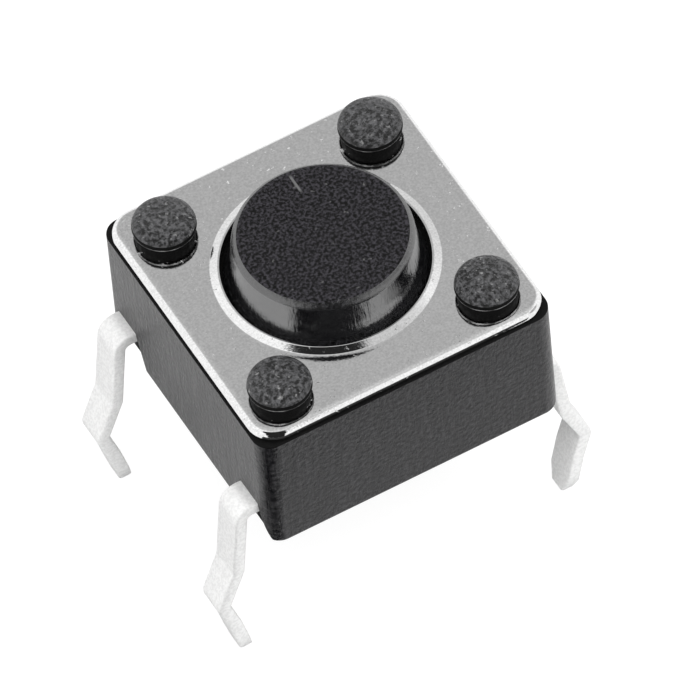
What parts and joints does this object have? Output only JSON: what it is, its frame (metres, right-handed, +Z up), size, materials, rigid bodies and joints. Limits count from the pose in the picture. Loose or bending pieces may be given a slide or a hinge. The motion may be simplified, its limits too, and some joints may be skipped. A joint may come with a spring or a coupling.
{
  "type": "tactile push button switch",
  "caption": "Square through-hole push switch with a round dark button, a staked steel cover plate and kinked tinned legs.",
  "frame": {"origin": "centre of the housing's underside, on the board plane", "axes": "+Z up along the button's travel, +X and -X towards the sides that the legs leave, +Y towards the strip of the centre contact"},
  "size_m": [0.0077, 0.006, 0.0071],
  "materials": {
    "housing": "fine satin moulded black thermoplastic",
    "cover_plate": "plated steel, satin face with bright rolled edges",
    "button": "charcoal thermoplastic, grained top and smooth side",
    "snap_dome": "bright spring steel",
    "lead_frame": "bright tin plating"
  },
  "bodies": {
    "base": {"housing": "housing", "cover_plate": "cover_plate", "snap_dome": "snap_dome", "centre_contact_frame": "lead_frame", "outer_contact_frame": "lead_frame"},
    "button": {"button": "button"}
  },
  "joints": [
    {"name": "button_press", "type": "slide", "parent": "base", "child": "button", "axis": [0, 0, -1], "range_m": [0, 0.00025], "stiffness_N_per_m": 6280, "deforming": ["snap_dome"]}
  ]
}
